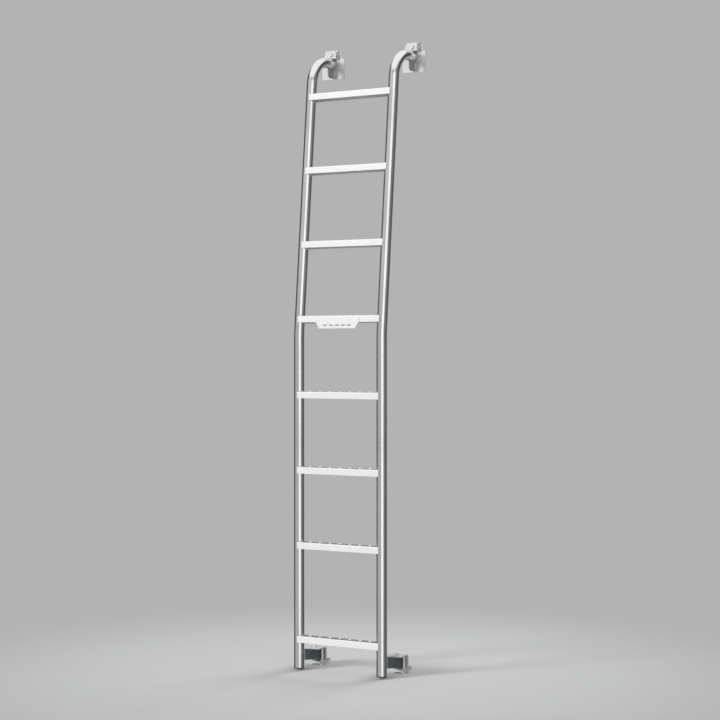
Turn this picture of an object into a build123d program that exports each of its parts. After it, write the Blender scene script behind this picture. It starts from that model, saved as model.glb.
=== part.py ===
"""Ladder for the rear door of a tall van: two bent tube stiles, folded treads, hooked door brackets.

Frame: +X to the right as seen from behind the van, +Y from the ladder towards the door, +Z up.
The origin lies on the door side of the left top pad, on the axis of the left stile's top run.
"""
from build123d import *
import math
import os

# Stiles: round tube, upright below, leaning towards the door above, bent over at the top.
STILE_DIAMETER = 32.0
STILE_WALL = 2.0
STILE_SPACING = 290.0
STILE_HEIGHT = 1873.0
LEAN_START = 1023.0
LEAN_ANGLE = 5.5
LEAN_BEND_RADIUS = 400.0
TOP_BEND_RADIUS = 86.0
TOP_REACH = 129.0
WELD_GAP = 0.2

# End caps: plugs in the lower ends of the stiles.
CAP_HEAD = 4.0
CAP_PLUG = 18.0
CAP_CLEARANCE = 0.2

# Treads: inverted channels of folded sheet whose flanges lap the stiles, measured along the stile.
TREAD_COUNT = 8
LOWEST_TREAD = 88.0
LOWEST_GAP = 287.0
TREAD_PITCH = 230.0
TREAD_HEIGHT = 20.0
TREAD_SHEET = 2.0
TREAD_FOLD_RADIUS = 3.0
TREAD_END_INSET = 2.4
NUB_COUNT = 7
NUB_PITCH = 35.0
NUB_BASE_RADIUS = 5.0
NUB_TOP_RADIUS = 3.0
NUB_HEIGHT = 3.0

# Badge plate: a bare trapezium plate with a row of plain slots, on the front of one tread.
BADGE_TREAD = 5
BADGE_WIDTH = 150.0
BADGE_FOOT_WIDTH = 126.0
BADGE_DROP = 20.0
BADGE_TOP_MARGIN = 4.0
BADGE_SHEET = 2.0
BADGE_SLOTS = 5
BADGE_SLOT_LENGTH = 15.0
BADGE_SLOT_HEIGHT = 5.0
BADGE_SLOT_PITCH = 21.0

# Top brackets: plate and pad on the door, gusset under the stile, cradle and hook over the door's edge.
PLATE_SHEET = 4.0
PAD_THICKNESS = 5.0
PAD_MARGIN = 3.0
TOP_PLATE_WIDTH = 80.0
TOP_PLATE_DROP = 46.0
TOP_PLATE_CORNER = 6.0
SHOULDER_MARGIN = 2.0
TONGUE_WIDTH = 62.0
TONGUE_RISE = 20.0
GUSSET_SHEET = 6.0
GUSSET_REACH = 28.0
GUSSET_DROP = 27.0
GUSSET_CHAMFER = 8.0
CRADLE_SHEET = 3.0
CRADLE_WIDTH = 38.0
CRADLE_RISE = 26.0
CRADLE_SLOT = 12.0
CRADLE_FOLD_RADIUS = 3.5
HOOK_SHEET = 4.0
HOOK_WIDTH = 34.0
HOOK_FOLD_RADIUS = 5.0
HOOK_LIP = 24.0
HOOK_CLEARANCE = 0.2
HOOK_FLOOR_GAP = 3.0
DOOR_EDGE = 15.0

# Bolts: hexagon heads and nuts.
BOLT_RADIUS = 4.0
BOLT_FLATS = 13.0
BOLT_HEAD = 5.3
BOLT_NUT = 4.0
CLAMP_BOLT_RADIUS = 4.0
CLAMP_BOLT_FLATS = 13.0
CLAMP_BOLT_HEAD = 4.0
CLAMP_BOLT_NUT = 5.0
BOLT_CLEARANCE = 0.2
SLEEVE_WALL = 3.0

# Foot brackets: an arm from each stile, a folded bracket on the door, a jaw under the door's lower edge.
FOOT_REACH = 125.0
ARM_WIDTH = 24.0
ARM_SHEET = 3.0
ARM_TOP = 44.0
ARM_EAR = 12.0
ARM_ROOT = 22.0
ARM_TIP = 8.0
FOOT_SIDE_MARGIN = 4.0
FOOT_SHEET = 4.0
FOOT_FOLD_RADIUS = 5.0
FOOT_TONGUE = 45.0
FOOT_TOE = 21.0
FOOT_STUD_SETBACK = 22.0
CLAMP_BOLT_GAP = 2.0
FOOT_PAD_BOTTOM = 12.0
FOOT_PAD_TOP = 40.0
JAW_SIDE_MARGIN = 3.0
JAW_SHEET = 4.0
JAW_FOLD_RADIUS = 5.0
JAW_UPTURN = 8.0

# Places that follow from the sizes above.
stile_radius = STILE_DIAMETER / 2
cope_radius = stile_radius + WELD_GAP
floor_z = -STILE_HEIGHT
lean_z = floor_z + LEAN_START
lower_y = -TOP_REACH + lean_z * math.tan(math.radians(LEAN_ANGLE))
plate_back_y = -PAD_THICKNESS
plate_front_y = plate_back_y - PLATE_SHEET
shoulder_z = stile_radius + SHOULDER_MARGIN
tongue_top_z = shoulder_z + TONGUE_RISE
cradle_back_y = plate_front_y - CRADLE_SLOT
cradle_floor_z = cope_radius + CRADLE_SHEET
hook_leg_y = plate_front_y - HOOK_CLEARANCE - HOOK_SHEET / 2
hook_front_y = hook_leg_y - HOOK_SHEET / 2
hook_bridge_z = tongue_top_z + HOOK_FOLD_RADIUS
hook_bolt_z = cradle_floor_z + (CRADLE_RISE - CRADLE_SHEET) / 2
foot_door_y = lower_y + FOOT_REACH
foot_back_y = foot_door_y - PAD_THICKNESS
foot_front_y = foot_back_y - FOOT_SHEET
foot_tongue_z = floor_z + ARM_TOP + FOOT_SHEET
foot_stud_y = foot_front_y - FOOT_STUD_SETBACK
arm_ear_y = foot_front_y - FOOT_TONGUE - WELD_GAP
clamp_bolt_y = foot_front_y - FOOT_TOE / 2
clamp_bolt_offset = ARM_WIDTH / 2 + CLAMP_BOLT_GAP + CLAMP_BOLT_RADIUS
clamp_bolt_top_z = floor_z + ARM_TOP - WELD_GAP
foot_width = 2 * (clamp_bolt_offset + CLAMP_BOLT_RADIUS + FOOT_SIDE_MARGIN)
jaw_width = 2 * (clamp_bolt_offset + CLAMP_BOLT_RADIUS + JAW_SIDE_MARGIN)
tread_depth = STILE_DIAMETER + 2 * (WELD_GAP + TREAD_SHEET)
ACROSS = Vector(1, 0, 0)
BASE = (Align.CENTER, Align.CENTER, Align.MIN)


def stile_path(x):
    """Centre line of a stile: upright run, gentle lean, top bend and run to the door plate."""
    corners = [(x, lower_y, floor_z), (x, lower_y, lean_z), (x, -TOP_REACH, 0), (x, plate_front_y, 0)]
    return FilletPolyline(*corners, radius=(LEAN_BEND_RADIUS, TOP_BEND_RADIUS))


def start_plane(path):
    """Plane square to a path at its start, with its first direction across the ladder."""
    return Plane(origin=path @ 0, x_dir=ACROSS, z_dir=path % 0)


def slab(x, width, y_low, y_high, z_low, z_high):
    """Plain rectangular block, centred on x."""
    middle = (x, (y_low + y_high) / 2, (z_low + z_high) / 2)
    return Pos(*middle) * Box(width, y_high - y_low, z_high - z_low)


def bent_strip(points, width, sheet, fold_radius):
    """Flat strip folded along a line of points, which is the middle of its thickness."""
    path = FilletPolyline(*points, radius=fold_radius)
    return sweep(start_plane(path) * Rectangle(width, sheet), path=path)


def rod(start, direction, radius, length):
    """Round bar from a point along a direction."""
    return Location(Plane(origin=start, z_dir=direction)) * Cylinder(radius, length, align=BASE)


def hexagon(start, direction, flats, height):
    """Hexagon prism from a point along a direction."""
    outline = RegularPolygon(radius=flats / 2, side_count=6, major_radius=False)
    return Location(Plane(origin=start, z_dir=direction)) * extrude(outline, amount=height)


def stile(x):
    """Bent tube of one stile."""
    path = stile_path(x)
    ring = Circle(stile_radius) - Circle(stile_radius - STILE_WALL)
    return sweep(start_plane(path) * ring, path=path)


def end_cap(x):
    """Plug in the lower end of a stile, with a flat head."""
    plug_radius = stile_radius - STILE_WALL - CAP_CLEARANCE
    head = Pos(x, lower_y, floor_z - CAP_HEAD) * Cylinder(stile_radius, CAP_HEAD, align=BASE)
    plug = Pos(x, lower_y, floor_z - CAP_HEAD) * Cylinder(plug_radius, CAP_HEAD + CAP_PLUG, align=BASE)
    return head + plug


def tread_distance(number):
    """Distance of a tread along the stile from its lower end; tread 1 is the lowest."""
    if number == 1:
        return LOWEST_TREAD
    return LOWEST_TREAD + LOWEST_GAP + (number - 2) * TREAD_PITCH


def tread_place(number):
    """Place of a tread: midway between the stiles and square to them."""
    path = stile_path(STILE_SPACING / 2)
    distance = tread_distance(number)
    centre = path.position_at(distance, position_mode=PositionMode.LENGTH)
    along = path.tangent_at(distance, position_mode=PositionMode.LENGTH)
    return Location(Plane(origin=centre, x_dir=ACROSS, z_dir=along))


def tread(number):
    """Folded channel coped round the stiles, with a row of raised nubs on its top."""
    side_y = (tread_depth - TREAD_SHEET) / 2
    top_z = (TREAD_HEIGHT - TREAD_SHEET) / 2
    low_z = -TREAD_HEIGHT / 2
    corners = [(0, -side_y, low_z), (0, -side_y, top_z), (0, side_y, top_z), (0, side_y, low_z)]
    length = STILE_SPACING - 2 * TREAD_END_INSET
    channel = bent_strip(corners, length, TREAD_SHEET, TREAD_FOLD_RADIUS)
    for end in (-1, 1):
        channel -= Pos(end * STILE_SPACING / 2, 0, 0) * Cylinder(cope_radius, 2 * TREAD_HEIGHT)
    for place in range(NUB_COUNT):
        nub_x = (place - (NUB_COUNT - 1) / 2) * NUB_PITCH
        nub = Cone(NUB_BASE_RADIUS, NUB_TOP_RADIUS, NUB_HEIGHT, align=BASE)
        channel += Pos(nub_x, 0, TREAD_HEIGHT / 2) * nub
    return tread_place(number) * channel


def badge_plate():
    """Trapezium plate on the front flange of its tread, with a row of plain slots below the tread."""
    top_z = TREAD_HEIGHT / 2 - BADGE_TOP_MARGIN
    edge_z = -TREAD_HEIGHT / 2
    low_z = edge_z - BADGE_DROP
    half, foot = BADGE_WIDTH / 2, BADGE_FOOT_WIDTH / 2
    outline = Polyline((-half, top_z), (half, top_z), (half, edge_z), (foot, low_z), (-foot, low_z),
                       (-half, edge_z), close=True)
    face = make_face(outline)
    for place in range(BADGE_SLOTS):
        slot_x = (place - (BADGE_SLOTS - 1) / 2) * BADGE_SLOT_PITCH
        slot = SlotOverall(BADGE_SLOT_LENGTH, BADGE_SLOT_HEIGHT)
        face -= Pos(slot_x, edge_z - BADGE_DROP / 2) * slot
    plate = extrude(Plane.XZ * face, amount=BADGE_SHEET)
    return tread_place(BADGE_TREAD) * (Pos(0, -tread_depth / 2, 0) * plate)


def hook_bolt_hole(x, y, depth):
    """Clearance hole for a hook bolt, from y towards the door."""
    return rod((x, y, hook_bolt_z), (0, 1, 0), BOLT_RADIUS + BOLT_CLEARANCE, depth)


def top_plate(x):
    """Door plate of a top bracket: a wide lower part and a narrower tongue above the stile."""
    body = slab(x, TOP_PLATE_WIDTH, plate_front_y, plate_back_y, -TOP_PLATE_DROP, shoulder_z)
    body = fillet(body.edges().filter_by(Axis.Y), TOP_PLATE_CORNER)
    tongue = slab(x, TONGUE_WIDTH, plate_front_y, plate_back_y, shoulder_z - TOP_PLATE_CORNER, tongue_top_z)
    hole = hook_bolt_hole(x, plate_front_y, PLATE_SHEET)
    return body + tongue - hole


def top_pad(x):
    """Rubber pad between a top plate and the door."""
    width = TOP_PLATE_WIDTH - 2 * PAD_MARGIN
    return slab(x, width, plate_back_y, 0, PAD_MARGIN - TOP_PLATE_DROP, shoulder_z - PAD_MARGIN)


def gusset(x):
    """Web under the end of a stile, square to the door plate."""
    front_y = plate_front_y - GUSSET_REACH
    low_z = -stile_radius - GUSSET_DROP
    outline = Polyline((plate_front_y, 0), (front_y, 0), (front_y, low_z + GUSSET_CHAMFER),
                       (front_y + GUSSET_CHAMFER, low_z), (plate_front_y, low_z), close=True)
    web = extrude(Plane.YZ * make_face(outline), amount=GUSSET_SHEET / 2, both=True)
    tube = rod((x, 2 * front_y, 0), (0, 1, 0), cope_radius, -2 * front_y)
    return Pos(x, 0, 0) * web - tube


def hook_cradle(x):
    """Folded plate on top of the stile's end that holds the hook against the door plate."""
    front_mid = cradle_back_y - CRADLE_SHEET / 2
    floor_mid = cope_radius + CRADLE_SHEET / 2
    corners = [(x, front_mid, cope_radius + CRADLE_RISE), (x, front_mid, floor_mid),
               (x, plate_front_y, floor_mid)]
    sheet = bent_strip(corners, CRADLE_WIDTH, CRADLE_SHEET, CRADLE_FOLD_RADIUS)
    return sheet - hook_bolt_hole(x, cradle_back_y - CRADLE_SHEET, CRADLE_SHEET)


def door_hook(x):
    """Folded strip that rises from the cradle, crosses the door's upper edge and turns down behind it."""
    lip_y = DOOR_EDGE + HOOK_SHEET / 2
    corners = [(x, hook_leg_y, cradle_floor_z + HOOK_FLOOR_GAP), (x, hook_leg_y, hook_bridge_z),
               (x, lip_y, hook_bridge_z), (x, lip_y, hook_bridge_z - HOOK_LIP)]
    strip = bent_strip(corners, HOOK_WIDTH, HOOK_SHEET, HOOK_FOLD_RADIUS)
    return strip - hook_bolt_hole(x, hook_front_y, HOOK_SHEET)


def hook_bolt(x):
    """Bolt through cradle, hook and door plate with its nut, and the sleeve in the cradle's slot."""
    head_y = cradle_back_y - CRADLE_SHEET
    length = plate_back_y - head_y
    bolt = hexagon((x, head_y, hook_bolt_z), (0, -1, 0), BOLT_FLATS, BOLT_HEAD)
    bolt += rod((x, head_y, hook_bolt_z), (0, 1, 0), BOLT_RADIUS, length)
    bolt += hexagon((x, plate_back_y, hook_bolt_z), (0, 1, 0), BOLT_FLATS, BOLT_NUT)
    sleeve_bore = BOLT_RADIUS + BOLT_CLEARANCE
    sleeve_length = hook_front_y - cradle_back_y
    sleeve = rod((x, cradle_back_y, hook_bolt_z), (0, 1, 0), sleeve_bore + SLEEVE_WALL, sleeve_length)
    sleeve -= rod((x, cradle_back_y, hook_bolt_z), (0, 1, 0), sleeve_bore, sleeve_length)
    return Compound(children=[*bolt.solids(), *sleeve.solids()])


def clamp_bolt_places(x):
    """The two places of the studs that stand beside an arm and clamp its jaw under its toe."""
    return [x - clamp_bolt_offset, x + clamp_bolt_offset]


def foot_arm(x):
    """Arm from a stile to its foot bracket: an inverted channel whose cheeks rise to ears at the stile."""
    top_z = floor_z + ARM_TOP
    deck_end_y = foot_front_y - FOOT_FOLD_RADIUS
    outline = Polyline((lower_y, top_z + ARM_EAR), (arm_ear_y, top_z), (deck_end_y, top_z),
                       (foot_front_y, top_z - FOOT_FOLD_RADIUS), (foot_front_y, floor_z + ARM_TIP),
                       (lower_y, floor_z + ARM_ROOT), close=True)
    cheek = extrude(Plane.YZ * make_face(outline), amount=ARM_SHEET / 2, both=True)
    arm = slab(x, ARM_WIDTH, lower_y, deck_end_y, top_z - ARM_SHEET, top_z)
    for side in (-1, 1):
        arm += Pos(x + side * (ARM_WIDTH - ARM_SHEET) / 2, 0, 0) * cheek
    return arm - rod((x, lower_y, floor_z), (0, 0, 1), cope_radius, 2 * ARM_TOP)


def foot_bracket(x):
    """Folded strip on the door: a tongue on top of the arm, a face on the door and a toe."""
    middle = FOOT_SHEET / 2
    face_y = foot_front_y + middle
    corners = [(x, foot_front_y - FOOT_TONGUE, foot_tongue_z - middle), (x, face_y, foot_tongue_z - middle),
               (x, face_y, floor_z + middle), (x, foot_front_y - FOOT_TOE, floor_z + middle)]
    strip = bent_strip(corners, foot_width, FOOT_SHEET, FOOT_FOLD_RADIUS)
    stud_hole = BOLT_RADIUS + BOLT_CLEARANCE
    strip -= rod((x, foot_stud_y, foot_tongue_z - FOOT_SHEET), (0, 0, 1), stud_hole, FOOT_SHEET)
    for bolt_x in clamp_bolt_places(x):
        hole = CLAMP_BOLT_RADIUS + BOLT_CLEARANCE
        strip -= rod((bolt_x, clamp_bolt_y, floor_z), (0, 0, 1), hole, FOOT_SHEET)
    return strip


def foot_jaw(x):
    """Folded strip under the toe that reaches under the door's lower edge and turns up behind it."""
    middle_z = floor_z - JAW_SHEET / 2
    lip_y = foot_door_y + DOOR_EDGE + JAW_SHEET / 2
    corners = [(x, foot_front_y - FOOT_TOE, middle_z), (x, lip_y, middle_z),
               (x, lip_y, floor_z + JAW_UPTURN)]
    strip = bent_strip(corners, jaw_width, JAW_SHEET, JAW_FOLD_RADIUS)
    for bolt_x in clamp_bolt_places(x):
        hole = CLAMP_BOLT_RADIUS + BOLT_CLEARANCE
        strip -= rod((bolt_x, clamp_bolt_y, floor_z - JAW_SHEET), (0, 0, 1), hole, JAW_SHEET)
    return strip


def foot_pad(x):
    """Rubber pad between a foot bracket and the door."""
    return slab(x, foot_width - 2 * PAD_MARGIN, foot_back_y, foot_door_y,
                floor_z + FOOT_PAD_BOTTOM, floor_z + FOOT_PAD_TOP)


def foot_bolts(x):
    """Nut on the stud that stands on the arm, and the two long studs whose nuts clamp the jaw."""
    stud = rod((x, foot_stud_y, floor_z + ARM_TOP), (0, 0, 1), BOLT_RADIUS, FOOT_SHEET)
    nut = stud + hexagon((x, foot_stud_y, foot_tongue_z), (0, 0, 1), BOLT_FLATS, BOLT_HEAD)
    solids = [*nut.solids()]
    for bolt_x in clamp_bolt_places(x):
        top = (bolt_x, clamp_bolt_y, floor_z + FOOT_SHEET)
        under = (bolt_x, clamp_bolt_y, floor_z - JAW_SHEET)
        bolt = hexagon(top, (0, 0, 1), CLAMP_BOLT_FLATS, CLAMP_BOLT_HEAD)
        bolt += rod(top, (0, 0, 1), CLAMP_BOLT_RADIUS, clamp_bolt_top_z - floor_z - FOOT_SHEET)
        bolt += rod(top, (0, 0, -1), CLAMP_BOLT_RADIUS, FOOT_SHEET + JAW_SHEET)
        bolt += hexagon(under, (0, 0, -1), CLAMP_BOLT_FLATS, CLAMP_BOLT_NUT)
        solids += bolt.solids()
    return Compound(children=solids)


side_pieces = {
    "stile": stile,
    "end_cap": end_cap,
    "top_plate": top_plate,
    "top_pad": top_pad,
    "gusset": gusset,
    "hook_cradle": hook_cradle,
    "door_hook": door_hook,
    "hook_bolt": hook_bolt,
    "foot_arm": foot_arm,
    "foot_bracket": foot_bracket,
    "foot_jaw": foot_jaw,
    "foot_pad": foot_pad,
    "foot_bolts": foot_bolts,
}

nodes = {"badge_plate": badge_plate()}
for number in range(1, TREAD_COUNT + 1):
    nodes[f"tread_{number}"] = tread(number)
for side, stile_x in (("left", 0.0), ("right", STILE_SPACING)):
    for piece, make in side_pieces.items():
        nodes[f"{side}_{piece}"] = make(stile_x)

os.makedirs("parts", exist_ok=True)
for name, shape in nodes.items():
    export_step(shape, f"parts/{name}.step")
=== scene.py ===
"""Looks of a rear door ladder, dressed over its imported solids. Lengths are metres."""
import math
import bmesh
import bpy
import numpy as np
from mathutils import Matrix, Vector


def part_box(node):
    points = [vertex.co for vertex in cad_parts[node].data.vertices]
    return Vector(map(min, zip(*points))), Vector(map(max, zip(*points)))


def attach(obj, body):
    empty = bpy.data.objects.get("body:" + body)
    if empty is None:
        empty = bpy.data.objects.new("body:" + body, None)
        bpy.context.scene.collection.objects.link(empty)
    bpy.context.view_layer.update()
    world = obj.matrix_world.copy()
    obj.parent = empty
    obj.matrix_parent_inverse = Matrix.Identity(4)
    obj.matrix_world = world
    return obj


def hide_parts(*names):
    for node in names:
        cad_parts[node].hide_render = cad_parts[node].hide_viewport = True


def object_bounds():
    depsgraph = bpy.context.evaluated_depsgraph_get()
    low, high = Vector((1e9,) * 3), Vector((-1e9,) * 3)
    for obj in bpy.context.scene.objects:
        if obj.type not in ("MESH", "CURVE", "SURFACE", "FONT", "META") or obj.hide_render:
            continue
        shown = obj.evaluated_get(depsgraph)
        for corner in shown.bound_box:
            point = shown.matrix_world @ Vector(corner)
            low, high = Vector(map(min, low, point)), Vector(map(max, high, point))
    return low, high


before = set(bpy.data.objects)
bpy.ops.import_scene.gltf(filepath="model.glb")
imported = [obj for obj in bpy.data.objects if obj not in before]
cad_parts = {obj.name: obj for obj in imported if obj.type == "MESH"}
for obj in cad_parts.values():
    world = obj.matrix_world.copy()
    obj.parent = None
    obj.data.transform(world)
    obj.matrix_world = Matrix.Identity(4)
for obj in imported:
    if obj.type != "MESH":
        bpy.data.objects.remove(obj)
solid_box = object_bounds()

# Sizes that the boxes of the solids don't give.
MM = 0.001
STILE_RADIUS = 16 * MM
STILE_WALL = 2 * MM
LEAN_START = 1023 * MM
LEAN_ANGLE = math.radians(5.5)
LEAN_BEND = 400 * MM
TOP_BEND = 86 * MM
TOP_REACH = 129 * MM
WELD_GAP = 0.2 * MM
TREAD_COUNT = 8
LOWEST_TREAD = 88 * MM
LOWEST_GAP = 287 * MM
TREAD_PITCH = 230 * MM
TREAD_HEIGHT = 20 * MM
TREAD_SHEET = 2 * MM
TREAD_FOLD = 3 * MM
TREAD_INSET = 2.4 * MM
NUB_COUNT = 7
NUB_PITCH = 35 * MM
NUB_FOOT = 5 * MM
NUB_CROWN = 3 * MM
NUB_HEIGHT = 3 * MM
BADGE_TREAD = 5
BADGE_HALF = 75 * MM
BADGE_FOOT = 63 * MM
BADGE_TOP = 6 * MM
BADGE_DROP = 20 * MM
BADGE_SHEET = 2 * MM
BADGE_SLOTS = 5
SLOT_PITCH = 21 * MM
SLOT_HALF = 5 * MM
SLOT_RADIUS = 2.5 * MM
SHOULDER_HEIGHT = 18 * MM
TONGUE_HALF = 31 * MM
PLATE_CORNER = 6 * MM
TONGUE_CORNER = 0.5 * MM
TOP_PAD_CORNER = 3 * MM
FOOT_PAD_CORNER = 2.5 * MM
CRADLE_SHEET = 3 * MM
CRADLE_FOLD = 3.5 * MM
HOOK_SHEET = 4 * MM
HOOK_FOLD = 5 * MM
HOOK_LIP = 24 * MM
FOOT_SHEET = 4 * MM
FOOT_FOLD = 5 * MM
ARM_HALF = 12 * MM
ARM_SHEET = 3 * MM
ARM_TOP = 44 * MM
ARM_EAR = 12 * MM
ARM_ROOT = 22 * MM
ARM_TIP = 8 * MM
STUD_SETBACK = 22 * MM
GUSSET_CHAMFER = 8 * MM
GUSSET_GAP = 0.1 * MM
BOLT_FLATS = 13 * MM
BOLT_HEAD = 5.3 * MM
BOLT_NUT = 4 * MM
BOLT_RADIUS = 4 * MM
SLEEVE_RADIUS = 7.2 * MM
CLAMP_FLATS = 13 * MM
CLAMP_HEAD = 4 * MM
CLAMP_NUT = 5 * MM
CLAMP_RADIUS = 4 * MM
CLAMP_OFFSET = 18 * MM

# Fine forms that the solids leave out, and how finely round forms are drawn. Creases are degrees.
SAME_POINT = 1e-6
EDGE_STEPS = 3
SHEET_EDGE = 0.6 * MM
THIN_EDGE = 0.5 * MM
BADGE_EDGE = 0.45 * MM
PAD_EDGE = 0.8 * MM
PLAIN_CREASE = 35
BOLT_CREASE = 28
WELD_CREASE = 60
STILE_ARC_STEP = math.radians(1.5)
SHEET_ARC_STEP = math.radians(9)
FOLD_ARC_STEP = math.radians(10)
TUBE_SIDES = 96
PLUG_SIDES = 64
PLUG_RIM = 2.5 * MM
PLUG_DISH = 0.4 * MM
PLUG_SEAM = 0.05 * MM
WEB_POINTS = 41
WEB_MARGIN = 5
TOP_SHARPNESS = 40
NUB_SIDES = 28
NUB_RISE = 0.35 * MM
NUB_SINK = 0.02 * MM
NUB_ROOT = 0.5 * MM
CELL_STEPS = 36
DECK_STEPS = 17
HEXAGON_SIDES = 72
HEXAGON_CONE = 0.97
HEXAGON_SLOPE = 0.58
BAR_SIDES = 48
BAR_CHAMFER = 0.5 * MM
# Rings in the top of a nut or a head: the share of the stud's or the cone's radius, and the depth.
NUT_RIM = ((1.12, 0.0), (1.0, 0.7 * MM), (0.92, 0.25 * MM), (0.5, 0.1 * MM))
HEAD_DISH = ((0.75, 0.0), (0.7, 0.15 * MM))


def box(node):
    """Lowest and highest corner of a solid, as arrays."""
    low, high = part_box(node)
    return np.array(low), np.array(high)


def middle(node):
    """Middle of a solid's box."""
    low, high = box(node)
    return (low + high) / 2


# Places worked out from the frame.
SIDES = ("left", "right")
stile_x = {side: middle(f"{side}_stile")[0] for side in SIDES}
ladder_x = (stile_x["left"] + stile_x["right"]) / 2
half_span = (stile_x["right"] - stile_x["left"]) / 2
floor_z = box("left_stile")[0][2]
lean_z = floor_z + LEAN_START
lower_y = -TOP_REACH + lean_z * math.tan(LEAN_ANGLE)
plate_low, plate_high = box("left_top_plate")
plate_front_y, plate_back_y = plate_low[1], plate_high[1]
cope_radius = STILE_RADIUS + WELD_GAP
tread_half_depth = cope_radius + TREAD_SHEET
lowest_z = solid_box[0][2]


# Surfaces.
def unit(vector):
    """The vector, or each row of an array of them, at length one."""
    return vector / np.linalg.norm(vector, axis=-1, keepdims=True)


def rounded_route(corners, radii, step):
    """Points and directions of a flat line whose corners are arcs.

    At a corner that turns by t, an arc of radius r begins r tan(t/2) before it. A point of the arc is the
    arc's centre plus r times the outward normal, and the normal turns evenly from 0 to t.
    """
    corners = np.asarray(corners, float)
    ways = unit(np.diff(corners, axis=0))
    points, directions = [corners[:1]], [ways[:1]]
    for corner, into, out, radius in zip(corners[1:-1], ways, ways[1:], radii):
        turn = math.atan2(into[0] * out[1] - into[1] * out[0], into @ out)
        angles = np.linspace(0, turn, int(abs(turn) / step) + 3)
        inward = math.copysign(1, turn) * np.array([-into[1], into[0]])
        centre = corner - into * radius * math.tan(abs(turn) / 2) + inward * radius
        cos, sin = np.cos(angles)[:, None], np.sin(angles)[:, None]
        across = np.array([-into[1], into[0]])
        directions.append(cos * into + sin * across)
        points.append(centre - math.copysign(radius, turn) * (cos * across - sin * into))
    return np.vstack([*points, corners[-1:]]), np.vstack([*directions, ways[-1:]])


def run_length(points):
    """Distance along a line at each of its points."""
    return np.concatenate([[0], np.cumsum(np.linalg.norm(np.diff(points, axis=0), axis=1))])


def carried(profile, route, x):
    """A profile carried along a route in an upright plane at x, as a grid with a row for each point.

    A profile's first number lies across the ladder, and its second along the route's normal.
    """
    points, directions = route
    normals = np.stack([-directions[:, 1], directions[:, 0]], 1)
    flat = points[:, None, :] + profile[None, :, 1, None] * normals[:, None, :]
    across = np.broadcast_to(x + profile[None, :, :1], (*flat.shape[:2], 1))
    return np.concatenate([across, flat], 2)


def ring(radius, count):
    """Circle of points about the middle, from angle 0 once round."""
    angles = np.arange(count) * 2 * math.pi / count
    return radius * np.stack([np.cos(angles), np.sin(angles)], 1)


def turned(radii, heights, sides):
    """Rings about the upright axis, as a grid.

    A ring has one radius and one height, or one of each for every point.
    """
    radii, heights = (np.reshape(value, (len(value), -1)) for value in (radii, heights))
    flat = radii[..., None] * ring(1.0, sides)
    return np.concatenate([flat, np.broadcast_to(heights, flat.shape[:2])[..., None]], 2)


def grid_faces(rows, columns, close_rows=False, close_columns=False):
    """Four-cornered faces between the neighbours of a grid of points that are numbered row by row."""
    number = np.arange(rows * columns).reshape(rows, columns)
    if close_rows:
        number = np.vstack([number, number[:1]])
    if close_columns:
        number = np.hstack([number, number[:, :1]])
    return np.stack([number[:-1, :-1], number[:-1, 1:], number[1:, 1:], number[1:, :-1]], -1).reshape(-1, 4)


stile_route = rounded_route([(lower_y, floor_z), (lower_y, lean_z), (-TOP_REACH, 0), (plate_front_y, 0)],
                            [LEAN_BEND, TOP_BEND], STILE_ARC_STEP)
stile_run = run_length(stile_route[0])


def fan(rim, tip):
    """Triangles from a closed rim of point numbers to one tip."""
    return np.stack([rim, np.roll(rim, -1), np.full_like(rim, tip)], 1)


class Form:
    """Points, faces and surface values gathered for one piece."""

    def __init__(self):
        self.points, self.faces, self.values, self.count = [], [], {}, 0

    def add(self, points, *faces, **values):
        """Adds points with the faces that number them from 0, and values given for each point."""
        points = points.reshape(-1, 3)
        self.points.append(points)
        self.faces += [group + self.count for group in faces]
        for name, value in values.items():
            self.values.setdefault(name, []).append(value)
        self.count += len(points)
        return self

    def prism(self, outline, place, low, high):
        """A flat outline stretched along a third direction, with both ends closed.

        place turns the outline's two columns and the third direction into points.
        """
        count = len(outline)
        rows = np.repeat([[low], [high]], count, axis=0)
        points = place(np.hstack([np.vstack([outline, outline]), rows]))
        ends = np.arange(2 * count).reshape(2, count)
        return self.add(points, grid_faces(2, count, close_columns=True), ends)

    def tube(self, grid):
        """A grid of closed rings with a flat face on each end."""
        rows, columns = grid.shape[:2]
        ends = np.stack([np.arange(columns), np.arange(columns) + (rows - 1) * columns])
        return self.add(grid, grid_faces(rows, columns, close_columns=True), ends)

    def capped(self, grid):
        """A grid of closed rings whose first and last ring each draw together in their middle point."""
        rows, columns = grid.shape[:2]
        tips = np.stack([grid[0].mean(0), grid[-1].mean(0)])
        rim = np.arange(columns)
        last = rows * columns
        return self.add(np.vstack([grid.reshape(-1, 3), tips]), grid_faces(rows, columns, close_columns=True),
                        fan(rim, last), fan(rim + last - columns, last + 1))


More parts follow.
